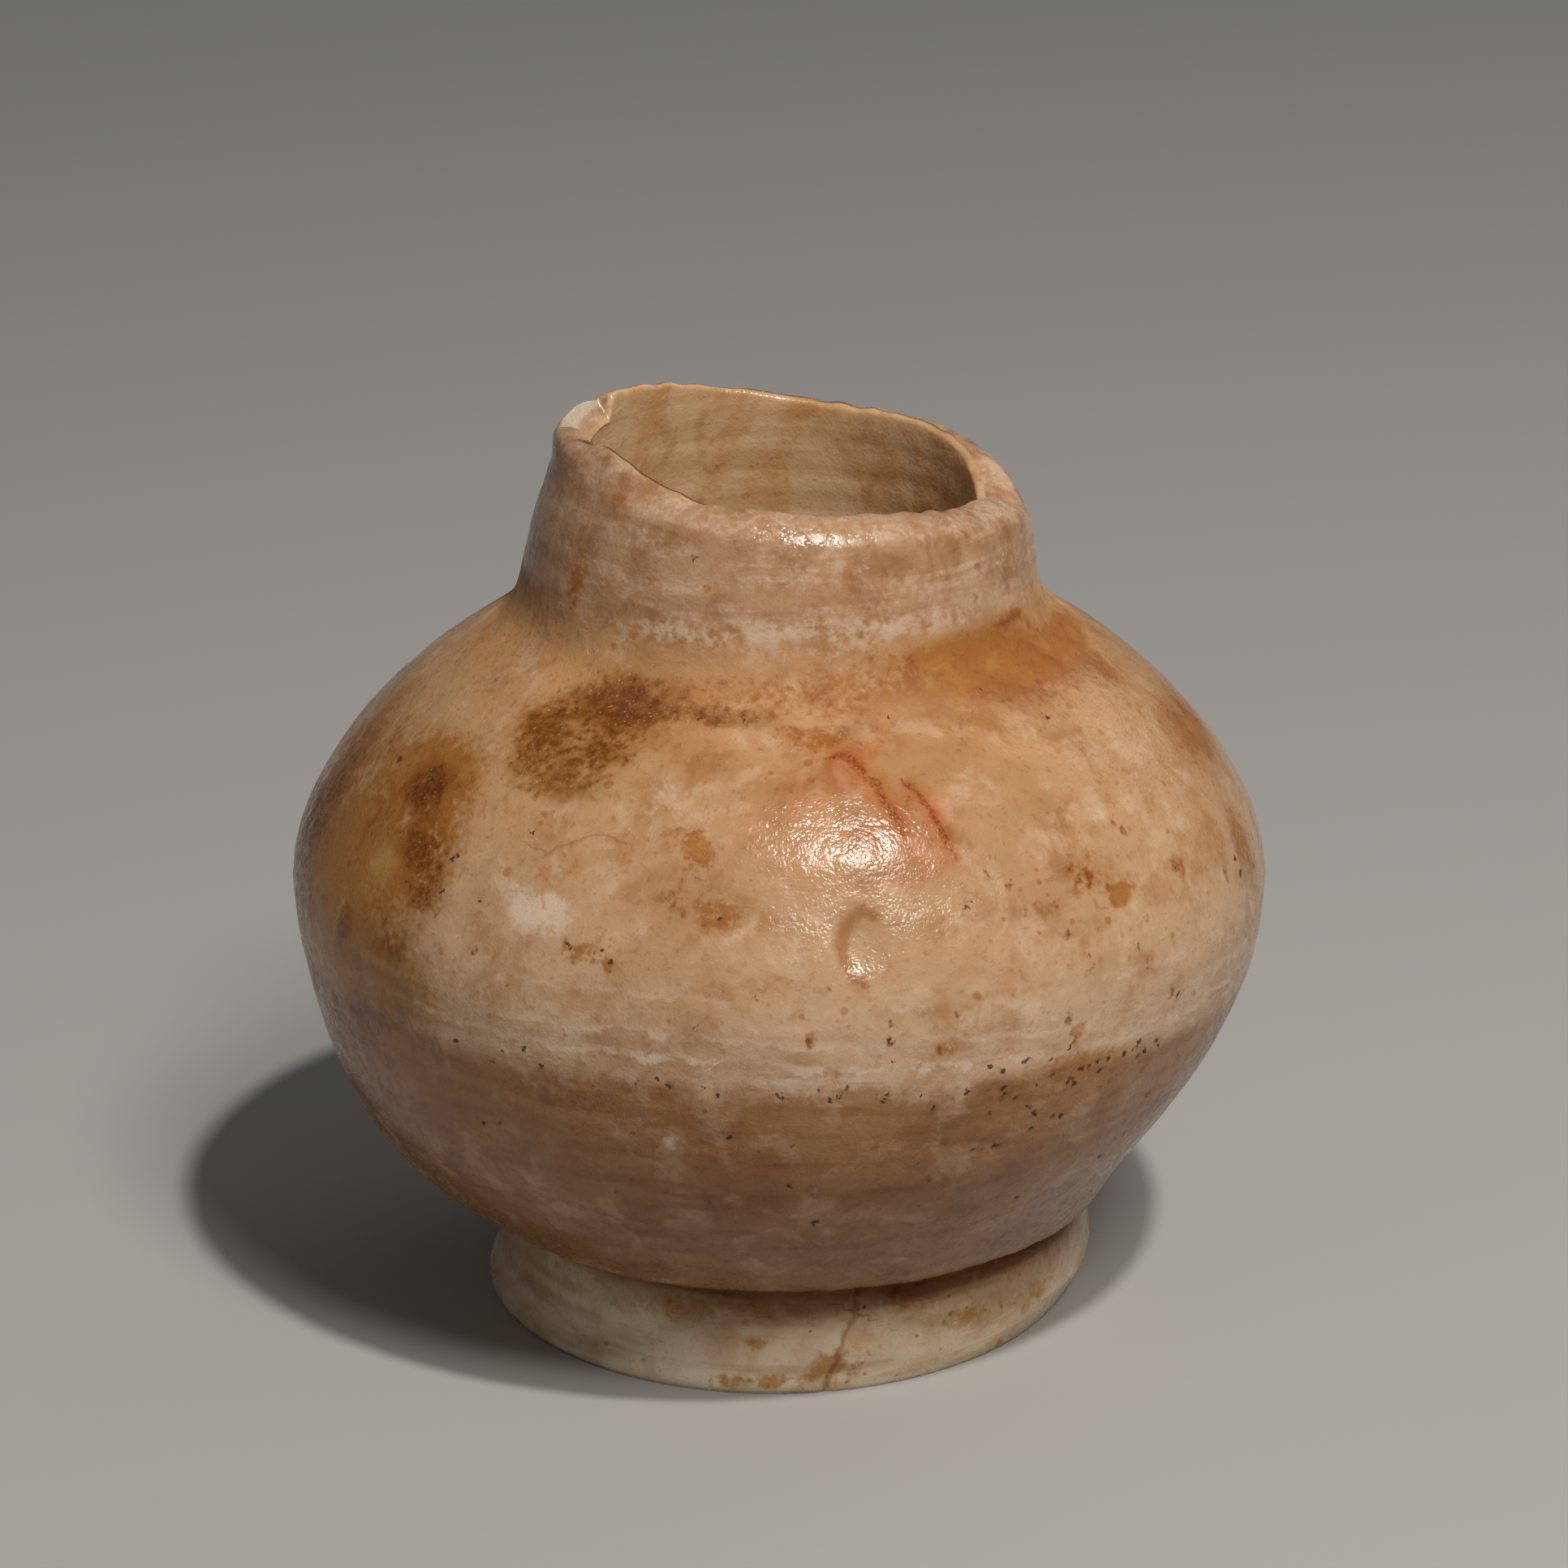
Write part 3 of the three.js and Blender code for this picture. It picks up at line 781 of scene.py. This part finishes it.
def finishJar(shape):
    mesh = shape.data
    count = len(mesh.vertices)
    points = np.empty(count * 3)
    mesh.vertices.foreach_get("co", points)
    points = points.reshape(-1, 3) / mm
    inner = np.empty(count)
    mesh.attributes["inner"].data.foreach_get("value", inner)
    outer = inner < 0.5

    # stains, and the painted highlights and shade among them, lie on the outside only, soft at their edges
    for kind, places in stainsAndPaintedLight.items():
        field = np.zeros(count)
        for angle, height, halfWidth, halfHeight, strength, *tilt in places:
            away = 1.0 - patch(points, angle, height, halfWidth, halfHeight, *tilt)
            field = field + strength * np.exp(-1.3 * away ** 2)
        store(mesh, kind, np.where(outer, np.minimum(field, 1.2), 0.0))
    for name, places in lines.items():
        across, within = lineField(points, places)
        store(mesh, name, np.clip(across, -3.0, 3.0))
        store(mesh, name + "Drawn", np.where(outer, within, 0.0))

    # painted shade: the thin dark line along the lip's inner edge, and the fainter one behind
    radius = np.hypot(points[:, 0], points[:, 1])
    crest = jar["rimRadius"] - jar["crestInset"]
    toEdge = np.hypot(radius - crest, points[:, 2] - jar["rimHeight"])
    start, end = rim["edgeShadeLine"]
    around = np.degrees(np.arctan2(points[:, 1], points[:, 0]))
    along = smoothstep(around, start, start + 5) * (1 - smoothstep(around, end - 12, end))
    start, end = rim["faintEdgeShade"]
    behind = 0.6 * smoothstep(around, start, start + 30) * (1 - smoothstep(around, end - 15, end))
    toEdge = toEdge / rim["edgeShadeWidth"]
    store(mesh, "edgeShadeLine", np.exp(-(toEdge ** 2)) * np.maximum(along, behind))

    # knocks go straight in, the bulge comes out, and the crack is a groove in the foot
    for angle, height, halfWidth, halfHeight, depth in knocks:
        hollow = smoothstep(patch(points, angle, height, halfWidth, halfHeight), -0.25, 0.6)
        _, normal, _, _ = onOutside(angle, height)
        points = points - (hollow * depth * outer)[:, None] * normal
    across, within = lineField(points, lines["crack"])
    groove = np.exp(-((across / jar["crackWidth"]) ** 2)) * within * outer * jar["crackDepth"]
    flat = np.column_stack((points[:, 0], points[:, 1], np.zeros(count)))
    flat = flat / np.maximum(np.linalg.norm(flat, axis=1), 1e-6)[:, None]
    points = points - groove[:, None] * flat

    points, fresh = carve(points, inner)
    store(mesh, "fresh", fresh)
    mesh.vertices.foreach_set("co", (points * mm).ravel())
    mesh.update()
    nearestMarks(mesh, "pit", pits)
    nearestMarks(mesh, "tick", ticks)
    print("jar has", count, "points and", len(mesh.polygons), "faces")


# Whole numbers are colours, from 0 to 255, and shares are what a stain lets through
stone = {
    "bedding": (0.0336, 0.0194, 1.0),  # the way up through its layers
    "lineHeight": 19.6,  # the line between the dark and the pale stone
    "lineRaggedness": 2.6,
    # the bands, at heights over that line
    "bands": [
        (-20.0, (232, 216, 192)),
        (-17.2, (222, 200, 170)),
        # the dark band is the stone's own darker layer, and is also painted darker to stand for the shade
        # on the lower body
        (-14.4, (146, 102, 56)),
        (-9.0, (144, 98, 54)),
        (-3.0, (164, 118, 74)),
        (-0.7, (164, 118, 74)),
        (0.5, (206, 174, 144)),
        (3.0, (198, 164, 132)),
        (8.0, (190, 152, 116)),
        (13.0, (190, 148, 106)),
        (16.0, (188, 140, 92)),
        (18.4, (184, 138, 92)),
        (20.0, (188, 150, 118)),
        (26.0, (184, 148, 118)),
    ],
    "brown": (0.64, 0.51, 0.25),
    "brownCore": (0.7, 0.57, 0.33),
    "amber": (0.69, 0.48, 0.18),
    "rust": (0.72, 0.49, 0.24),
    "pink": (0.98, 0.77, 0.68),
    "grey": (0.7, 0.64, 0.58),
    # pale and worn also serve as the painted glints and highlight in the stains
    "pale": (212, 190, 168),
    "worn": (206, 182, 158),
    "dark": (62, 28, 4),
    "fresh": (192, 174, 150),
    "flush": (0.93, 0.68, 0.48),
    "streak": (0.62, 0.41, 0.24),
    "crack": (0.6, 0.42, 0.28),
    # painted shade along the lip's inner edge
    "edge": (0.36, 0.22, 0.12),
    "tick": (0.5, 0.32, 0.16),
    "dimple": (0.66, 0.5, 0.32),
    "wash": (214, 184, 156),
    "clouds": (0.86, 0.8, 0.72),
    "layers": (0.8, 0.7, 0.58),
    "smoke": (0.84, 0.74, 0.62),
    "grain": (0.74, 0.62, 0.5),
    "turned": (0.84, 0.75, 0.65),
    "paleLayers": [(1.3, 0.9), (2.6, 0.5), (4.4, 0.25)],  # height over the line, strength
    # the inside is made lighter than the outside to paint in the glow of light coming through the wall
    "inside": (208, 174, 138),
    "insideDark": (190, 152, 112),
    "insideMottle": (0.8, 0.72, 0.62),
    "insideSoaked": (0.84, 0.7, 0.5),
    "insideGrain": (0.72, 0.58, 0.42),
    "roughness": 0.21,
    "foldRoughness": 0.45,  # added under the neck
    "bumpStrength": 0.6,
    "bumpDepth": 0.1,
    "refraction": 1.46,
    "translucency": 0.3,
    "bleed": (1.6, 0.9, 0.5),  # how far red, green and blue pass into it
}


def colour(values):
    linear = [((v / 255 + 0.055) / 1.055) ** 2.4 for v in values]
    return (*linear, 1.0)


def makeStone():
    material = bpy.data.materials.new("banded_alabaster")
    material.use_nodes = True
    tree = material.node_tree
    tree.nodes.clear()
    n = Nodes(tree)

    def blend(factor, first, second, kind="MIX"):
        node = n.add("ShaderNodeMix", {0: factor, 6: first, 7: second}, data_type="RGBA", blend_type=kind)
        return node.outputs[2]

    def stored(name):
        return n.add("ShaderNodeAttribute", attribute_name=name, attribute_type="GEOMETRY").outputs["Fac"]

    where = n.scaled(n.add("ShaderNodeTexCoord").outputs["Object"], 1 / mm)

    # noises shared by everything below, sizes in millimetres
    cloud = n.noise(where, 0.11, 3.0, 0.6, 0.8)
    mottle = n.noise(where, 0.45, 4.0, 0.65, 0.4)
    grain = n.noise(where, 2.2, 2.0, 0.7)
    sand = n.noise(where, 7.0, 1.0, 0.6)
    layers = n.noise(n.vector("MULTIPLY", where, (0.12, 0.12, 1.1)), 1.0, 3.0, 0.6, 0.3)

    # the bedding runs nearly level through the block
    level = n.math("SUBTRACT", n.vector("DOT_PRODUCT", where, stone["bedding"]), stone["lineHeight"])
    strayed = n.math("MULTIPLY", n.math("SUBTRACT", mottle, 0.5), stone["lineRaggedness"])
    level = n.math("ADD", level, strayed)
    lowest = stone["bands"][0][0]
    highest = stone["bands"][-1][0]
    bands = n.add("ShaderNodeValToRGB", {0: n.ranged(level, lowest, highest, smooth=False)})
    ramp = bands.color_ramp
    ramp.elements[0].color = colour(stone["bands"][0][1])
    ramp.elements[-1].color = colour(stone["bands"][-1][1])
    for height, tone in stone["bands"][1:-1]:
        ramp.elements.new((height - lowest) / (highest - lowest)).color = colour(tone)
    shade = bands.outputs[0]

    # clouds, layers and grain in the plain stone
    def tinted(factor, base, tint):
        return blend(factor, base, (*tint, 1.0), "MULTIPLY")

    shade = tinted(n.ranged(cloud, 0.5, 0.3), shade, stone["clouds"])
    layered = n.math("MULTIPLY", n.ranged(layers, 0.45, 0.65), n.ranged(level, -1.0, 3.0, 0.9, 0.15))
    shade = tinted(layered, shade, stone["layers"])
    smoke = n.noise(where, 0.28, 4.0, 0.7, 0.3)
    shade = tinted(n.ranged(smoke, 0.48, 0.66), shade, stone["smoke"])
    wash = n.math("MULTIPLY", n.ranged(mottle, 0.5, 0.7, 0.0, 0.45), n.ranged(level, -0.5, 1.0, 0.65, 1.0))
    shade = blend(wash, shade, colour(stone["wash"]))
    shade = tinted(n.ranged(grain, 0.54, 0.72, 0.0, 0.6), shade, stone["grain"])

    # thin pale layers over the dark band
    wavy = n.math("ADD", n.math("MULTIPLY", n.math("SUBTRACT", cloud, 0.5), 1.6), level)
    for height, strength in stone["paleLayers"]:
        away = n.math("ABSOLUTE", n.math("SUBTRACT", wavy, height))
        thin = n.ranged(away, 0.05, 0.32, strength, 0.0)
        kept = n.math("MULTIPLY", thin, n.ranged(mottle, 0.4, 0.58))
        shade = blend(kept, shade, colour(stone["pale"]))

    # brown specks all over, the smaller ones mostly in the dark band
    def specks(scale, fewest, core, strength):
        cells = n.add("ShaderNodeTexVoronoi", {"Vector": where, "Scale": scale, "Randomness": 1.0})
        size = n.add("ShaderNodeSeparateXYZ", {0: cells.outputs["Color"]}).outputs["X"]
        nearby = n.math("DIVIDE", cells.outputs["Distance"], n.ranged(size, fewest, 1.0, 0.001, 0.2))
        return n.ranged(nearby, core, 1.0, strength, 0.0)

    shade = tinted(specks(0.62, 0.3, 0.6, 0.7), shade, stone["rust"])
    low = n.ranged(level, 0.5, -1.0, 0.35, 0.9)
    shade = tinted(n.math("MULTIPLY", specks(1.15, 0.45, 0.5, 0.8), low), shade, stone["tick"])

    # pale frosting and turned marks on the neck, fine pale scratches on the shoulder
    height = n.add("ShaderNodeSeparateXYZ", {0: where}).outputs["Z"]
    onNeck = n.math("MULTIPLY", n.ranged(height, 37.0, 39.0), n.ranged(layers, 0.35, 0.6, 0.2, 1.0))
    frost = n.math("MULTIPLY", n.ranged(grain, 0.42, 0.66), onNeck)
    shade = blend(n.math("MULTIPLY", frost, 0.5), shade, colour(stone["worn"]))
    stained = n.math("MULTIPLY", n.ranged(mottle, 0.52, 0.36), n.ranged(height, 37.0, 40.0))
    shade = tinted(n.math("MULTIPLY", stained, 0.5), shade, stone["dimple"])
    turnedMarks = n.math("MULTIPLY", n.ranged(layers, 0.56, 0.44), n.ranged(height, 38.0, 40.0, 0.0, 0.7))
    shade = tinted(turnedMarks, shade, stone["turned"])
    thread = n.noise(n.vector("MULTIPLY", where, (0.9, 0.9, 0.55)), 1.0, 1.0, 0.5, 1.5)
    thread = n.ranged(n.math("ABSOLUTE", n.math("SUBTRACT", thread, 0.5)), 0.002, 0.011, 1.0, 0.0)
    onShoulder = n.math("MULTIPLY", n.ranged(height, 27.0, 33.0), n.ranged(cloud, 0.45, 0.6))
    scratched = n.math("MULTIPLY", n.math("MULTIPLY", thread, onShoulder), n.ranged(grain, 0.45, 0.6))
    shade = blend(n.math("MULTIPLY", scratched, 0.5), shade, colour(stone["pale"]))

    # stains, and the painted highlights and shade among them, let through part of the stone's colour,
    # unevenly
    uneven = n.math("MULTIPLY", n.math("SUBTRACT", mottle, 0.5), 3.0)
    speck = n.math("MULTIPLY", n.math("SUBTRACT", grain, 0.5), 2.8)
    rough = n.math("ADD", n.math("ADD", uneven, speck), 1.0)
    smoky = n.math("ADD", n.math("MULTIPLY", uneven, 0.75), n.math("MULTIPLY", speck, 0.5))
    smoky = n.math("ADD", smoky, 1.0)

    def patchMask(kind, low, high, most=1.0, edge=rough):
        return n.ranged(n.math("MULTIPLY", stored(kind), edge), low, high, 0.0, most)

    shade = tinted(patchMask("grey", 0.1, 0.9), shade, stone["grey"])
    shade = tinted(patchMask("pink", 0.1, 1.0), shade, stone["pink"])
    # pale patches, among them the painted glints and the painted highlight on the bulge's edge
    shade = blend(patchMask("pale", 0.15, 1.0, 0.8), shade, colour(stone["pale"]))
    shade = blend(patchMask("worn", 0.3, 1.4, 0.65), shade, colour(stone["worn"]))
    # the broad amber and brown at the far left are partly painted shade on the dark side
    shade = tinted(patchMask("amber", 0.1, 0.9, edge=smoky), shade, stone["amber"])
    shade = tinted(patchMask("rust", 0.2, 0.9), shade, stone["rust"])
    shade = tinted(patchMask("brown", 0.15, 0.75, edge=smoky), shade, stone["brown"])
    shade = tinted(patchMask("brown", 0.5, 1.2), shade, stone["brownCore"])
    # painted glints: pale sparkles through the brown stains
    paintedGlints = n.math("MULTIPLY", n.ranged(stored("brown"), 0.3, 0.8), n.ranged(sand, 0.66, 0.74, 0.0, 0.5))
    shade = blend(paintedGlints, shade, colour(stone["worn"]))

    def drawn(name, width, soft):
        strayed = n.math("ADD", stored(name), n.math("MULTIPLY", uneven, 0.22))
        away = n.math("ABSOLUTE", n.math("ADD", strayed, n.math("MULTIPLY", speck, 0.16)))
        inked = n.ranged(away, width, width + soft, 1.0, 0.0)
        return n.math("MULTIPLY", inked, n.ranged(stored(name + "Drawn"), 0.2, 0.8))

    flushed = n.math("MAXIMUM", drawn("streak", 0.2, 1.0), drawn("branch", 0.1, 0.9))
    shade = tinted(n.math("MULTIPLY", flushed, 0.8), shade, stone["flush"])
    reddened = n.math("MAXIMUM", drawn("streak", 0.08, 0.3), drawn("branch", 0.05, 0.24))
    reddened = n.math("MULTIPLY", reddened, n.ranged(sand, 0.42, 0.56, 0.25, 1.0))
    shade = tinted(reddened, shade, stone["streak"])
    shade = tinted(n.math("MULTIPLY", drawn("crack", 0.03, 0.22), 0.8), shade, stone["crack"])
    shade = tinted(n.math("MULTIPLY", drawn("dimple", 0.08, 0.55), 0.8), shade, stone["dimple"])
    shade = tinted(n.math("MULTIPLY", drawn("hairline", 0.01, 0.1), 0.45), shade, stone["crack"])

    # pits and ticks are ragged, and a tick is twice as high as it is wide
    wobble = n.add("ShaderNodeTexNoise", {"Vector": where, "Scale": 3.6, "Detail": 1.0})
    wobble = n.scaled(wobble.outputs["Color"], 0.6)
    ragged = n.vector("ADD", where, n.vector("SUBTRACT", wobble, (0.3, 0.3, 0.3)))

    def marked(name, core, edge, flattened):
        source = n.add("ShaderNodeAttribute", attribute_name=name + "Place", attribute_type="GEOMETRY")
        middle = n.vector("MULTIPLY", source.outputs["Vector"], flattened)
        away = n.vector("DISTANCE", n.vector("MULTIPLY", ragged, flattened), middle)
        return n.ranged(n.math("DIVIDE", away, stored(name + "Radius")), core, edge, 1.0, 0.0)

    scattered = n.ranged(stored("pit"), 0.45, 0.75)
    pit = n.math("MAXIMUM", scattered, marked("pit", 0.5, 1.05, (1.0, 1.0, 1.0)))
    shade = blend(n.math("MULTIPLY", pit, 0.88), shade, colour(stone["dark"]))
    tick = marked("tick", 0.3, 1.1, (1.0, 1.0, 0.5))
    shade = tinted(n.math("MULTIPLY", tick, 0.9), shade, stone["tick"])

    # the drilled inside is plainer, and its colour is lightened to paint in the glow of light through the
    # wall; the edges of the rim come last
    insideToneAndGlow = blend(n.ranged(layers, 0.3, 0.7), colour(stone["insideDark"]), colour(stone["inside"]))
    insideToneAndGlow = tinted(n.ranged(mottle, 0.5, 0.68, 0.0, 0.8), insideToneAndGlow, stone["insideMottle"])
    soaked = n.noise(n.vector("MULTIPLY", where, (0.3, 0.3, 0.16)), 1.0, 3.0, 0.6, 0.6)
    insideToneAndGlow = tinted(n.ranged(soaked, 0.46, 0.62, 0.0, 0.7), insideToneAndGlow, stone["insideSoaked"])
    insideToneAndGlow = tinted(n.ranged(grain, 0.56, 0.74, 0.0, 0.6), insideToneAndGlow, stone["insideGrain"])
    shade = blend(stored("inner"), shade, insideToneAndGlow)
    # painted shade along the lip's inner edge and behind
    edgeShadeMask = n.ranged(n.math("MULTIPLY", stored("edgeShadeLine"), n.ranged(grain, 0.3, 0.5, 0.7, 1.2)), 0.3, 0.8)
    shade = tinted(edgeShadeMask, shade, stone["edge"])
    fresh = n.ranged(n.math("ADD", stored("fresh"), n.math("MULTIPLY", speck, 0.1)), 0.3, 0.7)
    shade = blend(fresh, shade, colour(stone["fresh"]))

    # fine relief that is too small for the mesh
    relief = n.math("ADD", n.math("MULTIPLY", grain, 0.7), n.math("MULTIPLY", sand, 0.3))
    bump = n.add("ShaderNodeBump", {
        "Strength": stone["bumpStrength"],
        "Distance": stone["bumpDepth"] * mm,
        "Height": relief,
    })
    roughness = n.ranged(grain, 0.35, 0.65, stone["roughness"] - 0.1, stone["roughness"] + 0.12)
    folded = n.math("MULTIPLY", n.ranged(height, 34.6, 36.0), n.ranged(height, 39.6, 38.6))
    roughness = n.math("ADD", roughness, n.math("MULTIPLY", folded, stone["foldRoughness"]))
    roughness = n.math("ADD", roughness, n.math("MULTIPLY", n.math("SUBTRACT", mottle, 0.5), 0.3))
    roughness = n.math("ADD", roughness, n.math("MULTIPLY", pit, 0.6))
    surface = n.add("ShaderNodeBsdfPrincipled", {
        "Base Color": shade,
        "Roughness": roughness,
        "Normal": bump.outputs[0],
        "IOR": stone["refraction"],
        "Subsurface Weight": stone["translucency"],
        "Subsurface Radius": stone["bleed"],
        "Subsurface Scale": mm,
    })
    end = n.add("ShaderNodeOutputMaterial")
    tree.links.new(surface.outputs[0], end.inputs["Surface"])
    return material


def makeCamera():
    data = bpy.data.cameras.new("view")
    data.sensor_width = 36.0
    data.lens = camera["lens"]
    data.clip_start = 0.01
    data.clip_end = 20.0
    view = bpy.data.objects.new("view", data)
    view.location = (camera["side"] * mm, -camera["back"] * mm, camera["height"] * mm)
    view.rotation_euler = (degrees(90.0 - camera["pitchDown"]), 0.0, 0.0)
    bpy.context.scene.collection.objects.link(view)
    bpy.context.scene.camera = view


def makeLight(name):
    direction, distance, size, watts, lightColour = studio[name]
    data = bpy.data.lights.new(name, "AREA")
    data.shape = "DISK"
    data.size = size * mm
    data.energy = watts
    data.color = lightColour
    light = bpy.data.objects.new(name, data)
    towards = Vector(direction).normalized()
    middle = (Vector(cadBox[0]) + Vector(cadBox[1])) / 2
    light.location = middle + towards * distance * mm
    light.rotation_euler = towards.to_track_quat("Z", "Y").to_euler()
    bpy.context.scene.collection.objects.link(light)


def makeStudio():
    half = studio["floorSize"] * mm / 2
    data = bpy.data.meshes.new("floor")
    corners = [(-half, -half, 0), (half, -half, 0), (half, half, 0), (-half, half, 0)]
    data.from_pydata(corners, [], [(0, 1, 2, 3)])
    floor = bpy.data.objects.new("floor", data)
    bpy.context.scene.collection.objects.link(floor)
    paper = bpy.data.materials.new("paper")
    paper.use_nodes = True
    surface = paper.node_tree.nodes["Principled BSDF"]
    surface.inputs["Base Color"].default_value = (*studio["floorColour"], 1.0)
    surface.inputs["Roughness"].default_value = 0.9
    data.materials.append(paper)
    world = bpy.data.worlds.new("studio")
    world.use_nodes = True
    background = world.node_tree.nodes["Background"]
    background.inputs["Color"].default_value = (*studio["worldColour"], 1.0)
    background.inputs["Strength"].default_value = studio["worldStrength"]
    bpy.context.scene.world = world
    bpy.context.scene.view_settings.view_transform = "Standard"
    for name in ("key", "glint", "fill", "back"):
        makeLight(name)
    return floor


alabaster = makeStone()
print("stone is mixed")
kohlJar = turnJar(alabaster)
finishJar(kohlJar)
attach(kohlJar, "root")
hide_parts("kohl_jar")
makeCamera()
makeStudio()
print("studio is set")
